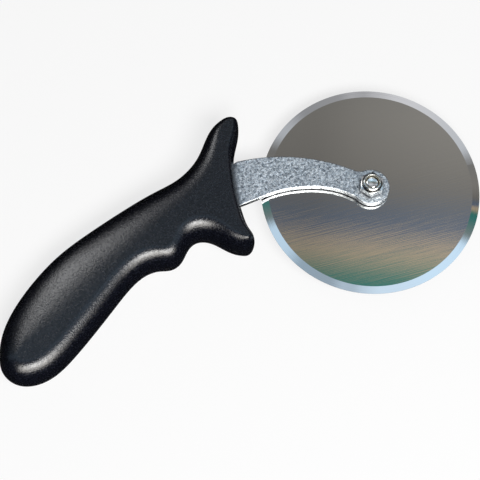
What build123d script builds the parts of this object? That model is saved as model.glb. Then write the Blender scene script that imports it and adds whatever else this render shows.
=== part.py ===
from build123d import *
import os
from math import copysign, cos, radians, sin

# Hand pizza cutter: a ground steel wheel turns on a bushing at the end of a curved steel arm,
# whose tang sits inside a moulded handle with a thumb guard and a finger guard.
# Millimetres, +Z up. The tool lies on the handle's back face at z = 0. +X runs from the handle's
# butt to the wheel, +Y to the thumb guard's side, and the axle stands parallel to Z at y = 0.

# Gap between the wheel's rim and the hollow front of the handle
rim_gap = 10.2

# Wheel
wheel_diameter = 101.6
wheel_thickness = 1.2
bevel_width = 3.4
edge_thickness = 0.12

# Arm and its tang
arm_thickness = 3.0
arm_edge_break = 0.25
eye_radius = 8.55
eye_blend_radius = 5.0
arm_back_bow = 5.0
tang_hole_diameter = 6.0

# Handle
handle_length = 131.4
handle_height = 101.0
handle_thickness = 23.0

# Axle bolt, with a pan head and a cross recess
bolt_diameter = 6.0
bolt_point_chamfer = 0.6
head_diameter = 12.0
head_height = 4.6
head_round = 2.8
recess_width = 1.3
recess_span = 6.4
recess_depth = 2.6

# Lock nut and its ring
nut_width = 10.0
nut_sides = 6
nut_height = 5.8
nut_hex_height = 4.1
nut_chamfer = 0.5
nut_collar_diameter = 8.4
nut_collar_round = 0.7
ring_diameter = 7.4
ring_height = 1.7
lip_height = 0.35
lip_opening = 6.9
bolt_end_drop = 0.6
nut_turn = 8.6

# Bushing and washers
bushing_wall = 1.0
back_washer_diameter = 13.0
back_washer_thickness = 1.0
front_washer_diameter = 13.0
front_washer_thickness = 0.5

# Clearances
running_clearance = 0.05
wheel_play = 0.1
hole_clearance = 0.1

# Deepest point of the handle's hollow front, as a share of its length from the butt
hollow_front_share = 0.927

# Handle outline, clockwise seen from +Z. Each row is a point of it at the middle plane, and the
# point of the flat land that the side rolls over to, both as a share of the length from the butt
# and a share of the height from the axle's line.
handle_outline_shares = (
    # Front of the thumb guard, then the hollow front down to the finger guard's tip
    (1.003, 0.452, 0.979, 0.443),
    (0.994, 0.405, 0.971, 0.414),
    (0.973, 0.350, 0.949, 0.362),
    (0.951, 0.283, 0.926, 0.292),
    (0.938, 0.198, 0.912, 0.203),
    (0.928, 0.099, 0.902, 0.101),
    (hollow_front_share, 0.000, 0.900, -0.002),
    (0.934, -0.072, 0.907, -0.074),
    (0.940, -0.118, 0.916, -0.108),
    (0.922, -0.149, 0.909, -0.118),
    (0.887, -0.149, 0.897, -0.103),
    # Groove for the index finger
    (0.849, -0.123, 0.875, -0.074),
    (0.810, -0.077, 0.844, -0.020),
    (0.778, -0.050, 0.800, 0.024),
    (0.746, -0.045, 0.732, 0.031),
    (0.712, -0.072, 0.679, -0.014),
    # Cusp, and the shallow groove behind it
    (0.679, -0.119, 0.652, -0.060),
    (0.645, -0.138, 0.633, -0.068),
    (0.596, -0.130, 0.594, -0.056),
    (0.543, -0.139, 0.523, -0.063),
    # Belly and butt
    (0.489, -0.177, 0.453, -0.107),
    (0.417, -0.250, 0.376, -0.183),
    (0.326, -0.345, 0.286, -0.277),
    (0.242, -0.427, 0.207, -0.355),
    (0.162, -0.486, 0.140, -0.405),
    (0.099, -0.501, 0.103, -0.417),
    (0.036, -0.478, 0.075, -0.411),
    (0.001, -0.416, 0.066, -0.387),
    (0.003, -0.343, 0.083, -0.358),
    (0.030, -0.248, 0.130, -0.323),
    # Back of the grip, up to the thumb guard
    (0.086, -0.149, 0.199, -0.284),
    (0.170, -0.049, 0.280, -0.231),
    (0.272, 0.041, 0.360, -0.165),
    (0.394, 0.113, 0.457, -0.089),
    (0.527, 0.177, 0.573, 0.001),
    (0.653, 0.227, 0.685, 0.084),
    (0.733, 0.255, 0.765, 0.143),
    (0.785, 0.290, 0.829, 0.204),
    (0.828, 0.337, 0.877, 0.275),
    (0.866, 0.400, 0.908, 0.354),
    (0.901, 0.452, 0.928, 0.408),
    (0.944, 0.482, 0.952, 0.439),
    (0.985, 0.482, 0.971, 0.449),
)

# The handle's edge is rounded as a quarter of a superellipse, in this many steps
round_steps = 6
round_power = 2.1
quarter_turn = 90

# Where the arm comes out of the handle, as shares of the handle's length and height
arm_root_top_share = (0.962, 0.279)
arm_root_bottom_share = (0.934, 0.068)

# Tang outline behind those two points, as the same shares
tang_top_shares = ((0.900, 0.250), (0.480, 0.080))
tang_bottom_shares = ((0.480, -0.045), (0.860, 0.040))
tang_end_round = 4.0

# Holes along the tang that the moulding flows through, as the same shares
tang_hole_shares = ((0.560, 0.030), (0.740, 0.085))

# Lower edge of the arm between its root and the eye: shares of the way from the root to the
# axle, and of the arm's width at its root above the root's lower corner
arm_arch_shares = ((0.167, 0.065), (0.330, 0.103), (0.515, 0.042), (0.690, -0.117), (0.825, -0.364))

# Where the arm's two edges run into the eye, as shares of the eye's radius from its centre
eye_top_share = (-0.30, 0.92)
eye_bottom_share = (-0.72, -0.60)

# Values that follow from the ones above
half_thickness = handle_thickness / 2
middle_z = half_thickness
wheel_radius = wheel_diameter / 2
overall_length = handle_length * hollow_front_share + rim_gap + wheel_diameter
butt_x = -overall_length / 2
axle_x = overall_length / 2 - wheel_radius
bolt_radius = bolt_diameter / 2
bushing_bore_radius = bolt_radius + hole_clearance
bushing_radius = bushing_bore_radius + bushing_wall
wheel_bore_radius = bushing_radius + running_clearance

arm_bottom_z = middle_z - arm_thickness / 2
arm_top_z = middle_z + arm_thickness / 2
front_washer_z = arm_bottom_z - front_washer_thickness
wheel_top_z = front_washer_z - wheel_play
wheel_middle_z = wheel_top_z - wheel_thickness / 2
wheel_bottom_z = wheel_top_z - wheel_thickness
back_washer_top_z = wheel_bottom_z - wheel_play
back_washer_z = back_washer_top_z - back_washer_thickness
head_bottom_z = back_washer_z - head_height
nut_top_z = arm_top_z + nut_height
bolt_end_z = nut_top_z - bolt_end_drop
nut_corner_radius = nut_width / 2 / cos(radians(2 * quarter_turn / nut_sides))
nut_collar_radius = nut_collar_diameter / 2


def handle_point(share):
    return Vector(butt_x + share[0] * handle_length, share[1] * handle_height)


def ring_outline(inset_share):
    # The outline's points, moved this share of the way to the land's
    return [
        handle_point(row[:2]) * (1 - inset_share) + handle_point(row[2:]) * inset_share
        for row in handle_outline_shares
    ]


def round_share(part_of_turn):
    # How far a superellipse has turned over, from 0 at its side to 1 at its crown
    return sin(radians(quarter_turn * part_of_turn)) ** (2 / round_power)


# Arm with its tang
root_top = handle_point(arm_root_top_share)
root_bottom = handle_point(arm_root_bottom_share)
axle = Vector(axle_x, 0)
arch_run = axle_x - root_bottom.X
root_width = root_top.Y - root_bottom.Y
arch = [
    root_bottom + Vector(along * arch_run, up * root_width)
    for along, up in arm_arch_shares
]
eye_top = axle + Vector(*eye_top_share) * eye_radius
eye_bottom = axle + Vector(*eye_bottom_share) * eye_radius

with BuildPart() as arm:
    with BuildSketch(Plane.XY.offset(arm_bottom_z)) as arm_outline:
        with BuildLine():
            SagittaArc(root_top, eye_top, arm_back_bow)
            Line(eye_top, eye_bottom)
            Spline(eye_bottom, *reversed(arch), root_bottom)
            Polyline(
                root_bottom,
                *[handle_point(share) for share in reversed(tang_bottom_shares)],
                *[handle_point(share) for share in reversed(tang_top_shares)],
                root_top,
            )
        make_face()
        fillet(arm_outline.vertices().sort_by(Axis.X)[:2], radius=tang_end_round)
        with Locations(axle):
            Circle(eye_radius)
        necks = arm_outline.vertices().filter_by_position(
            Axis.X, root_top.X + eye_radius, axle_x + eye_radius
        )
        fillet(necks, radius=eye_blend_radius)
    extrude(amount=arm_thickness)
    flats = arm.faces().filter_by(Axis.Z)
    chamfer(flats.edges(), length=arm_edge_break)
    with Locations(Plane.XY.offset(arm_top_z)):
        with Locations(axle):
            Hole(bolt_radius + hole_clearance)
        with Locations(*[handle_point(share) for share in tang_hole_shares]):
            Hole(tang_hole_diameter / 2)
arm.part.label = "arm"

# Handle, moulded round the tang: its outline drawn in step by step towards the flat land on
# each side of its middle plane
with BuildPart() as handle:
    for step in range(-round_steps, round_steps + 1):
        turned = abs(step) / round_steps
        rise = copysign(half_thickness * round_share(turned), step)
        with BuildSketch(Plane.XY.offset(middle_z + rise)):
            with BuildLine():
                Spline(ring_outline(1 - round_share(1 - turned)), periodic=True)
            make_face()
    loft()
    add(arm.part, mode=Mode.SUBTRACT)
handle.part.label = "handle"

# Wheel, ground to its edge from both sides
with BuildPart() as cutting_wheel:
    with BuildSketch(Plane.XZ):
        with BuildLine():
            Polyline(
                (axle_x + wheel_bore_radius, wheel_bottom_z),
                (axle_x + wheel_radius - bevel_width, wheel_bottom_z),
                (axle_x + wheel_radius, wheel_middle_z - edge_thickness / 2),
                (axle_x + wheel_radius, wheel_middle_z + edge_thickness / 2),
                (axle_x + wheel_radius - bevel_width, wheel_top_z),
                (axle_x + wheel_bore_radius, wheel_top_z),
                close=True,
            )
        make_face()
    revolve(axis=Axis((axle_x, 0, 0), (0, 0, 1)))
cutting_wheel.part.label = "cutting_wheel"


def flat_ring(outer_radius, inner_radius, bottom_z, height):
    # A plain ring round the axle
    with BuildPart() as ring:
        with BuildSketch(Plane.XY.offset(bottom_z)):
            with Locations(axle):
                Circle(outer_radius)
                Circle(inner_radius, mode=Mode.SUBTRACT)
        extrude(amount=height)
    return ring.part


# Bushing that the wheel turns on, as long as the wheel is thick plus its play on both sides
pivot_bushing = flat_ring(
    bushing_radius,
    bushing_bore_radius,
    back_washer_top_z,
    front_washer_z - back_washer_top_z,
)
pivot_bushing.label = "pivot_bushing"

# Washers on the two sides of the wheel
front_washer = flat_ring(
    front_washer_diameter / 2,
    bolt_radius + hole_clearance,
    front_washer_z,
    front_washer_thickness,
)
front_washer.label = "front_washer"

back_washer = flat_ring(
    back_washer_diameter / 2,
    bolt_radius + hole_clearance,
    back_washer_z,
    back_washer_thickness,
)
back_washer.label = "back_washer"

# Bolt, from its head under the wheel to its end inside the nut's ring
with BuildPart() as axle_bolt:
    with BuildSketch(Plane.XZ):
        with BuildLine():
            Polyline(
                (axle_x, head_bottom_z),
                (axle_x, bolt_end_z),
                (axle_x + bolt_radius - bolt_point_chamfer, bolt_end_z),
                (axle_x + bolt_radius, bolt_end_z - bolt_point_chamfer),
                (axle_x + bolt_radius, back_washer_z),
                (axle_x + head_diameter / 2, back_washer_z),
                (axle_x + head_diameter / 2, head_bottom_z),
                close=True,
            )
        make_face()
    revolve(axis=Axis((axle_x, 0, 0), (0, 0, 1)))
    fillet(axle_bolt.faces().sort_by(Axis.Z)[0].edges(), radius=head_round)
    with BuildSketch(Plane.XY.offset(head_bottom_z)):
        with Locations(axle):
            Rectangle(recess_span, recess_width)
            Rectangle(recess_width, recess_span)
    extrude(amount=recess_depth, mode=Mode.SUBTRACT)
axle_bolt.part.label = "axle_bolt"

# Lock nut: a hexagon turned down to a round collar, with a seat for the ring under a thin lip
with BuildPart() as lock_nut:
    with BuildSketch(Plane.XY.offset(arm_top_z)):
        with Locations(axle):
            RegularPolygon(nut_width / 2, nut_sides, major_radius=False, rotation=nut_turn)
    extrude(amount=nut_height)
    with BuildSketch(Plane.XZ):
        with BuildLine():
            Polyline(
                (axle_x + nut_collar_radius - nut_collar_round, nut_top_z),
                (axle_x, nut_top_z),
                (axle_x, arm_top_z),
                (axle_x + nut_corner_radius - nut_chamfer, arm_top_z),
                (axle_x + nut_corner_radius, arm_top_z + nut_chamfer / 2),
                (axle_x + nut_corner_radius, arm_top_z + nut_hex_height - nut_chamfer),
                (axle_x + nut_collar_radius, arm_top_z + nut_hex_height),
                (axle_x + nut_collar_radius, nut_top_z - nut_collar_round),
            )
            RadiusArc(
                (axle_x + nut_collar_radius, nut_top_z - nut_collar_round),
                (axle_x + nut_collar_radius - nut_collar_round, nut_top_z),
                -nut_collar_round,
            )
        make_face()
    revolve(axis=Axis((axle_x, 0, 0), (0, 0, 1)), mode=Mode.INTERSECT)
    with BuildSketch(Plane.XY.offset(nut_top_z)):
        with Locations(axle):
            Circle(lip_opening / 2)
    extrude(amount=-lip_height, mode=Mode.SUBTRACT)
    with BuildSketch(Plane.XY.offset(nut_top_z - lip_height)):
        with Locations(axle):
            Circle(ring_diameter / 2)
    extrude(amount=-ring_height, mode=Mode.SUBTRACT)
    with BuildSketch(Plane.XY.offset(arm_top_z)):
        with Locations(axle):
            Circle(bolt_radius)
    extrude(amount=nut_height, mode=Mode.SUBTRACT)
lock_nut.part.label = "lock_nut"

# Ring that grips the bolt's thread
lock_ring = flat_ring(
    ring_diameter / 2,
    bolt_radius,
    nut_top_z - lip_height - ring_height,
    ring_height,
)
lock_ring.label = "lock_ring"

os.makedirs("parts", exist_ok=True)
export_step(arm.part, "parts/arm.step")
export_step(handle.part, "parts/handle.step")
export_step(cutting_wheel.part, "parts/cutting_wheel.step")
export_step(pivot_bushing, "parts/pivot_bushing.step")
export_step(front_washer, "parts/front_washer.step")
export_step(back_washer, "parts/back_washer.step")
export_step(axle_bolt.part, "parts/axle_bolt.step")
export_step(lock_nut.part, "parts/lock_nut.step")
export_step(lock_ring, "parts/lock_ring.step")
print("overall length", round(overall_length, 2))
print("axle at x", round(axle_x, 2), "wheel middle at z", round(wheel_middle_z, 2))
print("bolt head's lowest point at z", round(head_bottom_z, 2))
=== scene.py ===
from math import cos, radians, sin

import bmesh
import bpy
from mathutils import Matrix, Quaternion, Vector


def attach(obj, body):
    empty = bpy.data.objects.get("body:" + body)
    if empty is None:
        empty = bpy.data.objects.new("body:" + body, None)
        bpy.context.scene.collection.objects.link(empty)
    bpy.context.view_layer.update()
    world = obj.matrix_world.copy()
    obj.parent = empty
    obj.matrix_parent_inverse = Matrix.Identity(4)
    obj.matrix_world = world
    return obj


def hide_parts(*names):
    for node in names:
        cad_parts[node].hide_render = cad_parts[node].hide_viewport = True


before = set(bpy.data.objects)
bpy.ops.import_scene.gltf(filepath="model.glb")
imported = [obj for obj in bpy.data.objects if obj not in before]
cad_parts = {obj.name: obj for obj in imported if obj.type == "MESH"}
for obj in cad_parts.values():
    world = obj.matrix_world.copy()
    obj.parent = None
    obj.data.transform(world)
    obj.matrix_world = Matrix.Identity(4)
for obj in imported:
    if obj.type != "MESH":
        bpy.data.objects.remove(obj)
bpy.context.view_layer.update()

# Pizza cutter: a ground stainless wheel on a tumbled steel arm, with a black moulded handle.
# Metres, in the CAD model's frame: +X to the wheel, +Z out of the side with the nut.

mm = 0.001
touching = 0.001 * mm  # points nearer than this are taken as one
axle = (0.066, 0.0)    # the line that the wheel turns on, where X and Y meet it
turnSteps = 96         # flats round a turned piece


def toLinear(hexColour):
    # an sRGB hex colour as the linear values that a shader takes
    parts = [int(hexColour[i:i + 2], 16) / 255 for i in (1, 3, 5)]
    return [p / 12.92 if p <= 0.04045 else ((p + 0.055) / 1.055) ** 2.4 for p in parts] + [1.0]


def perMm(size):
    # pattern scale for features of this many millimetres, as Object coordinates are metres
    return 1 / (size * mm)


def addNode(tree, kind, inputs, **settings):
    # a new node with its settings, each socket given a value or a link
    node = tree.nodes.new("ShaderNode" + kind)
    for setting, value in settings.items():
        setattr(node, setting, value)
    for socket, value in inputs.items():
        if isinstance(value, bpy.types.NodeSocket):
            tree.links.new(value, node.inputs[socket])
        else:
            node.inputs[socket].default_value = value
    return node


def startMaterial(title):
    # an empty material, and Object coordinates for its patterns
    mat = bpy.data.materials.new(title)
    mat.use_nodes = True
    tree = mat.node_tree
    tree.nodes.clear()
    return mat, tree, addNode(tree, "TexCoord", {}).outputs["Object"]


def paintedShadeCorners(tree, colour, s):
    # the colour, going over to a painted shade where other surfaces stand close, as shade falls in corners
    openness = addNode(tree, "AmbientOcclusion", {"Distance": s["paintedShadeReach"] * mm}, samples=8)
    unshaded = addNode(tree, "MapRange", {
        "Value": openness.outputs["AO"], "From Min": s["paintedShadeOpenness"][0], "From Max": s["paintedShadeOpenness"][1],
    })
    return addNode(tree, "Mix", {
        0: unshaded.outputs["Result"], 6: toLinear(s["paintedShade"]), 7: colour,
    }, data_type="RGBA").outputs[2]


def endMaterial(tree, finish):
    shader = addNode(tree, "BsdfPrincipled", finish)
    addNode(tree, "OutputMaterial", {"Surface": shader.outputs["BSDF"]})


# Handle: polypropylene, moulded in a spark-eroded steel mould. It is a deep black with a fine
# even grain, which breaks its highlights into small sparkles.
handleSettings = {
    "colours": ("#020206", "#11141E"),
    "roughness": (0.18, 0.30),
    "coarseGrain": 0.9,      # mm, drawn coarser than the real 0.2 mm so that it shows
    "fineGrain": 0.45,
    "grainDepth": 0.06,
    "partingHeight": 11.5,   # where the two mould halves meet
    "partingWidth": 0.12,
    "partingDepth": 0.08,
}


def makeHandlePlastic(s):
    mat, tree, place = startMaterial("blackMouldedPolypropylene")
    coarse = addNode(tree, "TexNoise", {"Vector": place, "Scale": perMm(s["coarseGrain"]), "Detail": 2.0})
    fine = addNode(tree, "TexNoise", {"Vector": place, "Scale": perMm(s["fineGrain"]), "Detail": 1.0})
    grain = addNode(tree, "Math", {0: coarse.outputs["Fac"], 1: fine.outputs["Fac"]}, operation="ADD")
    grainBump = addNode(tree, "Bump", {"Height": grain.outputs[0], "Distance": s["grainDepth"] * mm})
    height = addNode(tree, "SeparateXYZ", {"Vector": place}).outputs["Z"]
    fromLine = addNode(tree, "Math", {0: height, 1: s["partingHeight"] * mm}, operation="SUBTRACT")
    away = addNode(tree, "Math", {0: fromLine.outputs[0]}, operation="ABSOLUTE")
    line = addNode(tree, "MapRange", {
        "Value": away.outputs[0], "From Max": s["partingWidth"] * mm, "To Min": 1.0, "To Max": 0.0,
    }, interpolation_type="SMOOTHSTEP")
    lineBump = addNode(tree, "Bump", {
        "Height": line.outputs["Result"], "Distance": s["partingDepth"] * mm,
        "Normal": grainBump.outputs["Normal"],
    })
    polish = addNode(tree, "MapRange", {
        "Value": coarse.outputs["Fac"], "From Min": 0.35, "From Max": 0.65,
        "To Min": s["roughness"][0], "To Max": s["roughness"][1],
    })
    speckle = addNode(tree, "MapRange", {"Value": fine.outputs["Fac"], "From Min": 0.35, "From Max": 0.65})
    colour = addNode(tree, "Mix", {
        0: speckle.outputs["Result"], 6: toLinear(s["colours"][0]), 7: toLinear(s["colours"][1]),
    }, data_type="RGBA")
    endMaterial(tree, {
        "Base Color": colour.outputs[2],
        "IOR": 1.5,
        "Roughness": polish.outputs["Result"],
        "Normal": lineBump.outputs["Normal"],
    })
    return mat


# Arm: mild steel, stamped, tumbled and zinc plated. Its faces are a soft blue-grey, mottled and
# full of small bright flecks from the tumbling stones.
armSettings = {
    "dark": "#656B72",
    "light": "#D9DDE1",
    "mottle": 1.2,           # mm across the marks that the stones leave
    "fleck": 0.8,            # mm between flecks, drawn coarser so that they show
    "markDepth": 0.13,
    "edgeRound": 0.5,        # mm that tumbling has rounded the sheared edges
    "roughness": (0.28, 0.50),
    "paintedShade": "#4A4C52",       # painted shade round the nut, where the arm meets it
    "paintedShadeReach": 2.2,        # mm
    "paintedShadeOpenness": (0.45, 0.9),
}


def makeArmSteel(s):
    mat, tree, place = startMaterial("tumbledZincPlatedSteel")
    mottle = addNode(tree, "TexNoise", {
        "Vector": place, "Scale": perMm(s["mottle"]), "Detail": 4.0, "Roughness": 0.65, "Distortion": 0.8,
    })
    fleck = addNode(tree, "TexVoronoi", {"Vector": place, "Scale": perMm(s["fleck"])})
    marks = addNode(tree, "Math", {
        0: fleck.outputs["Distance"], 1: 0.5, 2: mottle.outputs["Fac"],
    }, operation="MULTIPLY_ADD")
    tone = addNode(tree, "MapRange", {"Value": mottle.outputs["Fac"], "From Min": 0.36, "From Max": 0.64})
    colour = addNode(tree, "Mix", {
        0: tone.outputs["Result"], 6: toLinear(s["dark"]), 7: toLinear(s["light"]),
    }, data_type="RGBA")
    polish = addNode(tree, "MapRange", {
        "Value": fleck.outputs["Distance"], "From Min": 0.1, "From Max": 0.6,
        "To Min": s["roughness"][0], "To Max": s["roughness"][1],
    })
    edges = addNode(tree, "Bevel", {"Radius": s["edgeRound"] * mm}, samples=6)
    bump = addNode(tree, "Bump", {
        "Height": marks.outputs[0], "Distance": s["markDepth"] * mm, "Normal": edges.outputs["Normal"],
    })
    endMaterial(tree, {
        # painted shade: the steel darkens round the nut, as in its contact shadow
        "Base Color": paintedShadeCorners(tree, colour.outputs[2], s),
        "Metallic": 1.0,
        "Roughness": polish.outputs["Result"],
        "Normal": bump.outputs["Normal"],
    })
    return mat


# Wheel: stainless steel, ground flat in straight passes, then ground to its edge all round. It
# mirrors its surroundings softly, with hair lines along the passes and round the bevel.
wheelSettings = {
    "colour": "#C4C3C0",
    "bevelStart": 47.4,      # mm from the axle
    "passTurn": -15.4,       # degrees from +X that the passes run
    "lineWidth": 0.35,       # mm, drawn coarser than real scratches
    "lineLength": 30.0,
    "ringWidth": 0.5,        # mm between the lines round the bevel
    "lineDepth": 0.004,
    "roughness": (0.03, 0.06),
}


def makeWheelSteel(s):
    mat, tree, place = startMaterial("groundStainlessSteel")
    passes = addNode(tree, "Mapping", {
        "Vector": place,
        "Rotation": (0, 0, -radians(s["passTurn"])),
        "Scale": (perMm(s["lineLength"]), perMm(s["lineWidth"]), perMm(s["lineLength"])),
    })
    straight = addNode(tree, "TexNoise", {"Vector": passes.outputs["Vector"], "Scale": 1.0, "Detail": 3.0})
    centred = addNode(tree, "Mapping", {"Vector": place, "Location": (-axle[0], -axle[1], 0)})
    flat = addNode(tree, "VectorMath", {0: centred.outputs["Vector"], 1: (1, 1, 0)}, operation="MULTIPLY")
    radius = addNode(tree, "VectorMath", {0: flat.outputs["Vector"]}, operation="LENGTH").outputs["Value"]
    roundLines = addNode(tree, "TexNoise", {
        "W": radius, "Scale": perMm(s["ringWidth"]), "Detail": 2.0,
    }, noise_dimensions="1D")
    onBevel = addNode(tree, "Math", {0: radius, 1: s["bevelStart"] * mm}, operation="GREATER_THAN")
    lines = addNode(tree, "Mix", {
        0: onBevel.outputs[0], 2: straight.outputs["Fac"], 3: roundLines.outputs["Fac"],
    })
    polish = addNode(tree, "MapRange", {
        "Value": lines.outputs[0], "From Min": 0.3, "From Max": 0.7,
        "To Min": s["roughness"][0], "To Max": s["roughness"][1],
    })
    bump = addNode(tree, "Bump", {"Height": lines.outputs[0], "Distance": s["lineDepth"] * mm})
    endMaterial(tree, {
        "Base Color": toLinear(s["colour"]),
        "Metallic": 1.0,
        "Roughness": polish.outputs["Result"],
        "Normal": bump.outputs["Normal"],
    })
    return mat


# Nut, bolt and washers: cold-formed steel, zinc plated and polished. It is bright and clean, with
# a slight unevenness in its shine.
fastenerSettings = {
    "colours": ("#C6C8C8", "#DEDDD8"),
    "patch": 2.2,            # mm across the patches of stronger and weaker shine
    "ripple": 0.7,
    "rippleDepth": 0.02,
    "roughness": (0.12, 0.24),
    "paintedShade": "#2E2723",       # painted shade in its corners, a dark brown
    "paintedShadeReach": 0.7,        # mm
    "paintedShadeOpenness": (0.5, 0.9),
}


def makeFastenerSteel(s):
    mat, tree, place = startMaterial("brightZincPlatedSteel")
    patch = addNode(tree, "TexNoise", {"Vector": place, "Scale": perMm(s["patch"]), "Detail": 3.0})
    ripple = addNode(tree, "TexNoise", {"Vector": place, "Scale": perMm(s["ripple"]), "Detail": 2.0})
    colour = addNode(tree, "Mix", {
        0: patch.outputs["Fac"], 6: toLinear(s["colours"][0]), 7: toLinear(s["colours"][1]),
    }, data_type="RGBA")
    polish = addNode(tree, "MapRange", {
        "Value": patch.outputs["Fac"], "From Min": 0.35, "From Max": 0.65,
        "To Min": s["roughness"][0], "To Max": s["roughness"][1],
    })
    bump = addNode(tree, "Bump", {"Height": ripple.outputs["Fac"], "Distance": s["rippleDepth"] * mm})
    endMaterial(tree, {
        # painted shade: the steel darkens in its corners, where shade falls
        "Base Color": paintedShadeCorners(tree, colour.outputs[2], s),
        "Metallic": 1.0,
        "Roughness": polish.outputs["Result"],
        "Normal": bump.outputs["Normal"],
    })
    return mat


# Ring in the nut: nylon, moulded, left its natural cream colour. It is drawn a darker grey-brown,
# as painted shade for the groove that it sits in. It is waxy, and a little cloudy.
ringSettings = {"colours": ("#6F6C60", "#8E8B7E"), "cloud": 1.5, "roughness": 0.42}


def makeRingNylon(s):
    mat, tree, place = startMaterial("naturalMouldedNylon")
    cloud = addNode(tree, "TexNoise", {"Vector": place, "Scale": perMm(s["cloud"]), "Detail": 3.0})
    colour = addNode(tree, "Mix", {
        0: cloud.outputs["Fac"], 6: toLinear(s["colours"][0]), 7: toLinear(s["colours"][1]),
    }, data_type="RGBA")
    endMaterial(tree, {"Base Color": colour.outputs[2], "IOR": 1.53, "Roughness": s["roughness"]})
    return mat


# Bushing: stainless steel, turned on a lathe. Fine tool marks run round it.
bushingSettings = {"colour": "#C2C1BE", "feed": 0.12, "markDepth": 0.004, "roughness": 0.22}


def makeBushingSteel(s):
    mat, tree, place = startMaterial("turnedStainlessSteel")
    height = addNode(tree, "SeparateXYZ", {"Vector": place}).outputs["Z"]
    marks = addNode(tree, "TexNoise", {"W": height, "Scale": perMm(s["feed"])}, noise_dimensions="1D")
    bump = addNode(tree, "Bump", {"Height": marks.outputs["Fac"], "Distance": s["markDepth"] * mm})
    endMaterial(tree, {
        "Base Color": toLinear(s["colour"]),
        "Metallic": 1.0,
        "Roughness": s["roughness"],
        "Normal": bump.outputs["Normal"],
    })
    return mat


fastenerSteel = makeFastenerSteel(fastenerSettings)
nodeMaterials = {
    "handle": makeHandlePlastic(handleSettings),
    "arm": makeArmSteel(armSettings),
    "cutting_wheel": makeWheelSteel(wheelSettings),
    "axle_bolt": fastenerSteel,
    "lock_nut": fastenerSteel,
    "front_washer": fastenerSteel,
    "back_washer": fastenerSteel,
    "lock_ring": makeRingNylon(ringSettings),
    "pivot_bushing": makeBushingSteel(bushingSettings),
}
for node, mat in nodeMaterials.items():
    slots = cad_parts[node].data.materials
    slots.clear()
    slots.append(mat)
print("materials made")


def turnPiece(corners, closed):
    # a turned solid on the axle, from corners of (radius, height, rounding) in mm. The corners of
    # a ring run round and close, and those of a solid one start and end on the axle.
    build = bmesh.new()
    points = [build.verts.new((axle[0] + radius * mm, axle[1], height * mm)) for radius, height, _ in corners]
    sides = list(zip(points, points[1:])) + ([(points[-1], points[0])] if closed else [])
    edges = [build.edges.new(side) for side in sides]
    bmesh.ops.spin(
        build, geom=points + edges, cent=(*axle, 0), axis=(0, 0, 1),
        angle=radians(360), steps=turnSteps, use_merge=True,
    )
    bmesh.ops.remove_doubles(build, verts=build.verts, dist=touching)
    for radius, height, rounding in corners:
        if rounding:
            rim = [
                edge for edge in build.edges
                if all(abs(vert.co.z - height * mm) < touching for vert in edge.verts)
                and all(abs(fromAxle(vert.co) - radius * mm) < touching for vert in edge.verts)
            ]
            bmesh.ops.bevel(
                build, geom=rim, offset=rounding * mm, affect="EDGES",
                segments=6, profile=0.5, material=-1,
            )
    return build


def fromAxle(point):
    return (Vector(point[:2]) - Vector(axle)).length


def finishPiece(build, title, mat, node, sharpAngle):
    # the mesh as an object that stands for a CAD node on the frame's body
    bmesh.ops.recalc_face_normals(build, faces=build.faces)
    mesh = bpy.data.meshes.new(title)
    build.to_mesh(mesh)
    build.free()
    mesh.shade_smooth()
    mesh.set_sharp_from_angle(angle=radians(sharpAngle))
    mesh.materials.append(mat)
    piece = bpy.data.objects.new(title, mesh)
    bpy.context.collection.objects.link(piece)
    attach(piece, "frame")
    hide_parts(node)
    return piece


# Lock nut: a chamfered hexagon, turned down to a collar whose lip is rolled in over the ring
nutSettings = {
    "corners": [
        (3.0, 13.35, 0), (3.35, 13.0, 0), (4.9, 13.0, 0), (5.95, 13.35, 0),
        (5.95, 16.6, 0), (4.75, 17.1, 0), (4.35, 16.85, 0), (3.95, 16.85, 0), (4.1, 17.2, 0),
        (4.1, 18.8, 0.5), (3.42, 18.8, 0.1), (3.42, 18.47, 0),
        (3.72, 18.47, 0), (3.72, 16.72, 0), (3.0, 16.72, 0),
    ],
    "width": 10.0,           # mm across the flats
    "turn": 8.6,             # degrees from +X to a corner
    "sides": 6,
}


def makeNut(s):
    build = turnPiece(s["corners"], True)
    for side in range(s["sides"]):
        turn = radians(s["turn"] + (side + 0.5) * 360 / s["sides"])
        out = Vector((cos(turn), sin(turn), 0))
        cut = bmesh.ops.bisect_plane(
            build, geom=build.verts[:] + build.edges[:] + build.faces[:], dist=touching / 10,
            plane_co=Vector((*axle, 0)) + out * s["width"] / 2 * mm, plane_no=out, clear_outer=True,
        )
        flatEdges = [item for item in cut["geom_cut"] if isinstance(item, bmesh.types.BMEdge)]
        bmesh.ops.contextual_create(build, geom=flatEdges)
    return finishPiece(build, "lockNut", fastenerSteel, "lock_nut", 20)


makeNut(nutSettings)
print("nut made")

# Bolt: a domed head with a tapered cross recess, a plain shank, and a rolled point whose slope
# shines as a ring inside the nut
boltSettings = {
    "corners": [
        (0, 2.5, 0), (6.0, 2.5, 2.8), (6.0, 7.1, 0.15), (3.0, 7.1, 0),
        (3.0, 17.7, 0), (2.85, 17.95, 0), (2.25, 18.2, 0), (1.9, 18.05, 0), (0, 18.0, 0),
    ],
    "recessSpan": 6.1,       # mm across the cross
    "recessWidth": 1.3,
    "recessDepth": 2.5,
    "recessTaper": 0.55,     # the size of its bottom, as a share of its mouth
}


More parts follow.
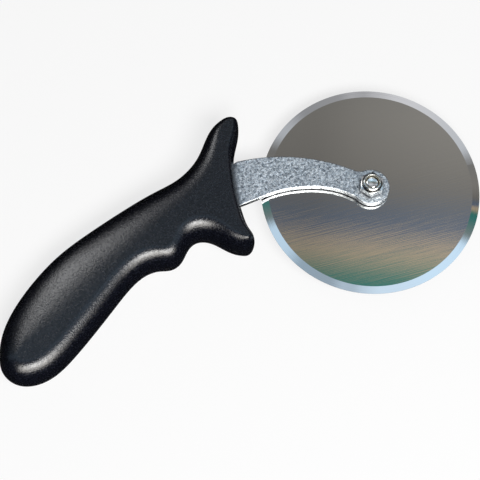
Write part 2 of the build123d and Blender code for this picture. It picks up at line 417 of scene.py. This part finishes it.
def makeBolt(s):
    build = turnPiece(s["corners"], False)
    headBottom = s["corners"][0][1] * mm
    reaches = (s["recessWidth"] / 2 * mm, s["recessSpan"] / 2 * mm)
    for out in (Vector((1, 0, 0)), Vector((-1, 0, 0)), Vector((0, 1, 0)), Vector((0, -1, 0))):
        for reach in reaches:
            end = [face for face in build.faces if abs(face.calc_center_median().z - headBottom) < touching]
            around = {item for face in end for item in [*face.verts, *face.edges]}
            bmesh.ops.bisect_plane(
                build, geom=[*end, *around], dist=touching / 10,
                plane_co=Vector((*axle, headBottom)) + out * reach, plane_no=out,
            )
    cross = []
    for face in build.faces:
        offset = face.calc_center_median() - Vector((*axle, headBottom))
        far, near = sorted((abs(offset.x), abs(offset.y)), reverse=True)
        if abs(offset.z) < touching and near < reaches[0] and far < reaches[1]:
            cross.append(face)
    # Known fault: the faces that are pushed also stay behind and cover the recess, so the edges of
    # its mouth have three faces. Deleting the faces in cross after the push would open it.
    pushed = bmesh.ops.extrude_face_region(build, geom=cross)["geom"]
    for vert in [item for item in pushed if isinstance(item, bmesh.types.BMVert)]:
        vert.co.x = axle[0] + (vert.co.x - axle[0]) * s["recessTaper"]
        vert.co.y = axle[1] + (vert.co.y - axle[1]) * s["recessTaper"]
        vert.co.z += s["recessDepth"] * mm
    return finishPiece(build, "axleBolt", fastenerSteel, "axle_bolt", 25)


makeBolt(boltSettings)
print("bolt made")

# Floor: a plain pale sheet of card, lit from within a little for the camera, so that it comes out
# white and still shows a soft shadow. The steel mirrors it as the dark table of the photograph.
floorSettings = {"size": 6.0, "colour": "#F7F7F7", "glow": 0.78, "mirrored": "#262626"}


def makeFloor(s):
    mesh = bpy.data.meshes.new("floor")
    build = bmesh.new()
    bmesh.ops.create_grid(build, x_segments=1, y_segments=1, size=s["size"] / 2)
    build.to_mesh(mesh)
    build.free()
    floor = bpy.data.objects.new("floor", mesh)
    bpy.context.collection.objects.link(floor)
    mat, tree, _ = startMaterial("paleCard")
    path = addNode(tree, "LightPath", {})
    colour = addNode(tree, "Mix", {
        0: path.outputs["Is Glossy Ray"], 6: toLinear(s["colour"]), 7: toLinear(s["mirrored"]),
    }, data_type="RGBA")
    card = addNode(tree, "BsdfDiffuse", {"Color": colour.outputs[2]})
    white = addNode(tree, "Emission", {"Color": (1, 1, 1, 1), "Strength": 1.0})
    share = addNode(tree, "Math", {0: path.outputs["Is Camera Ray"], 1: s["glow"]}, operation="MULTIPLY")
    both = addNode(tree, "MixShader", {0: share.outputs[0], 1: card.outputs[0], 2: white.outputs[0]})
    addNode(tree, "OutputMaterial", {"Surface": both.outputs[0]})
    mesh.materials.append(mat)


makeFloor(floorSettings)

# Air round the set: white for the camera, an even light on everything dull, and for the steel and
# the gloss of the handle the darker room that they mirror in the photograph, as bands across this
# axis from the sky in front to the wall behind
airSettings = {
    "level": 0.12,
    "axis": (0.348, 0.937, 0.0),
    "bands": [
        # where along the axis, colour, strength
        (-0.60, "#7C838A", 0.8),
        (-0.08, "#A7BBCC", 0.4),
        (0.00, "#D6EAFF", 1.4),
        (0.10, "#CAE6FF", 1.75),
        (0.225, "#CAE6FF", 1.8),
        (0.26, "#A4B4B8", 0.9),
        (0.325, "#3E9C96", 1.0),
        (0.340, "#4A9890", 1.0),
        (0.349, "#D0BBA1", 1.15),
        (0.359, "#CDBDA6", 1.15),
        (0.366, "#667A9A", 1.08),
        (0.374, "#768498", 1.05),
        (0.388, "#8F8D8A", 1.0),
        (0.405, "#8F8D8A", 1.2),
        (0.435, "#8F8D8A", 1.4),
        (0.50, "#8C8C8C", 1.2),
        (0.55, "#D4DAE4", 1.3),
        (0.69, "#E6E8F0", 1.25),
        (0.78, "#303236", 1.0),
    ],
    "sideAxis": (0.937, -0.348, 0.0),
    "sides": [
        # where along the side axis, level
        (-0.50, 0.5), (-0.30, 0.80), (-0.20, 0.82), (-0.15, 0.48), (-0.04, 0.52), (0.0, 0.74),
        (0.04, 0.72), (0.065, 0.88), (0.10, 1.0), (0.13, 1.08), (0.38, 0.97), (0.45, 0.66),
    ],
    "ground": (0.10, 0.60),  # the air fades to the ground between these heights
    "groundLevel": 0.06,
    # the hazy sun in front: its strength, the heights that it rises and fades between, and how
    # far forward along the axis it starts
    "haze": "#FFFBF4",
    "hazeStrength": 10.5,
    "hazeRise": (0.22, 0.46),
    "hazeFall": (0.75, 0.91),
    "hazeFront": (-0.30, -0.50),
    "hazeSide": (-0.40, -0.15),  # and how far along the side axis
}


def makeAir(s):
    world = bpy.data.worlds.new("air")
    bpy.context.scene.world = world
    world.use_nodes = True
    tree = world.node_tree
    tree.nodes.clear()
    place = addNode(tree, "TexCoord", {}).outputs["Generated"]
    along = addNode(tree, "VectorMath", {0: place, 1: s["axis"]}, operation="DOT_PRODUCT")
    share = addNode(tree, "MapRange", {"Value": along.outputs["Value"], "From Min": -1.0})
    room = addNode(tree, "ValToRGB", {"Fac": share.outputs["Result"]})
    stops = room.color_ramp.elements
    stops.remove(stops[1])
    for index, (at, colour, strength) in enumerate(s["bands"]):
        stop = stops[0] if index == 0 else stops.new((at + 1) / 2)
        stop.position = (at + 1) / 2
        stop.color = [part * strength for part in toLinear(colour)[:3]] + [1.0]
    across = addNode(tree, "VectorMath", {0: place, 1: s["sideAxis"]}, operation="DOT_PRODUCT")
    sideShare = addNode(tree, "MapRange", {"Value": across.outputs["Value"], "From Min": -1.0})
    side = addNode(tree, "ValToRGB", {"Fac": sideShare.outputs["Result"]})
    stops = side.color_ramp.elements
    stops.remove(stops[1])
    for index, (at, level) in enumerate(s["sides"]):
        stop = stops[0] if index == 0 else stops.new((at + 1) / 2)
        stop.position = (at + 1) / 2
        stop.color = (level, level, level, 1)
    height = addNode(tree, "SeparateXYZ", {"Vector": place}).outputs["Z"]
    above = addNode(tree, "MapRange", {
        "Value": height, "From Min": s["ground"][0], "From Max": s["ground"][1],
        "To Min": s["groundLevel"], "To Max": 1.0,
    }, interpolation_type="SMOOTHSTEP")
    level = addNode(tree, "Math", {
        0: side.outputs["Color"], 1: above.outputs["Result"],
    }, operation="MULTIPLY")
    rise = addNode(tree, "MapRange", {
        "Value": height, "From Min": s["hazeRise"][0], "From Max": s["hazeRise"][1],
        "To Max": s["hazeStrength"],
    }, interpolation_type="SMOOTHSTEP")
    fall = addNode(tree, "MapRange", {
        "Value": height, "From Min": s["hazeFall"][1], "From Max": s["hazeFall"][0],
    }, interpolation_type="SMOOTHSTEP")
    front = addNode(tree, "MapRange", {
        "Value": along.outputs["Value"], "From Min": s["hazeFront"][0], "From Max": s["hazeFront"][1],
    }, interpolation_type="SMOOTHSTEP")
    right = addNode(tree, "MapRange", {
        "Value": across.outputs["Value"], "From Min": s["hazeSide"][0], "From Max": s["hazeSide"][1],
    }, interpolation_type="SMOOTHSTEP")
    haze = rise
    for edge in (fall, front, right):
        haze = addNode(tree, "Math", {0: haze.outputs[0], 1: edge.outputs["Result"]}, operation="MULTIPLY")
    path = addNode(tree, "LightPath", {})
    even = addNode(tree, "Background", {"Color": (1, 1, 1, 1), "Strength": s["level"]})
    roomLight = addNode(tree, "Background", {"Color": room.outputs["Color"], "Strength": level.outputs[0]})
    hazeLight = addNode(tree, "Background", {"Color": toLinear(s["haze"]), "Strength": haze.outputs[0]})
    mirrored = addNode(tree, "AddShader", {0: roomLight.outputs[0], 1: hazeLight.outputs[0]})
    white = addNode(tree, "Background", {"Color": (1, 1, 1, 1), "Strength": 1.0})
    unseen = addNode(tree, "MixShader", {
        0: path.outputs["Is Glossy Ray"], 1: even.outputs[0], 2: mirrored.outputs[0],
    })
    seen = addNode(tree, "MixShader", {
        0: path.outputs["Is Camera Ray"], 1: unseen.outputs[0], 2: white.outputs[0],
    })
    addNode(tree, "OutputWorld", {"Surface": seen.outputs[0]})


makeAir(airSettings)

# Soft boxes, each with its direction from the part, distance, width, height and watts
lampSettings = {
    "frontBox": ((0.10, -0.60, 0.79), 1.2, 1.0, 0.5, 15.0),
    "gripBox": ((-0.155, 0.235, 0.25), 0.37, 0.10, 0.23, 0.36),
}


def makeLamps(lamps):
    aim = Vector((0.0, 0.0, 0.01))
    for title, (direction, distance, width, height, watts) in lamps.items():
        data = bpy.data.lights.new(title, "AREA")
        data.shape = "ELLIPSE"
        data.size, data.size_y = width, height
        data.energy = watts
        lamp = bpy.data.objects.new(title, data)
        bpy.context.collection.objects.link(lamp)
        out = Vector(direction).normalized()
        lamp.location = aim + out * distance
        lamp.rotation_mode = "QUATERNION"
        lamp.rotation_quaternion = (-out).to_track_quat("-Z", "Y")
        # the near box only glosses the back of the grip, and lights nothing dull
        lamp.visible_diffuse = title != "gripBox"


makeLamps(lampSettings)

cameraSettings = {
    "place": (-0.0812, -0.2398, 0.6556),
    "aim": (0.00065, -0.00905, 0.0115),
    "roll": 4.12,
    "lens": 113.6,
    "sensor": 36.0,
}


def makeCamera(s):
    data = bpy.data.cameras.new("camera")
    data.lens = s["lens"]
    data.sensor_width = s["sensor"]
    camera = bpy.data.objects.new("camera", data)
    bpy.context.collection.objects.link(camera)
    look = Vector(s["aim"]) - Vector(s["place"])
    camera.rotation_mode = "QUATERNION"
    camera.rotation_quaternion = look.to_track_quat("-Z", "Y") @ Quaternion((0, 0, 1), radians(s["roll"]))
    camera.location = s["place"]
    bpy.context.scene.camera = camera


makeCamera(cameraSettings)
bpy.context.scene.view_settings.view_transform = "Standard"
print("floor, lamps and camera made")
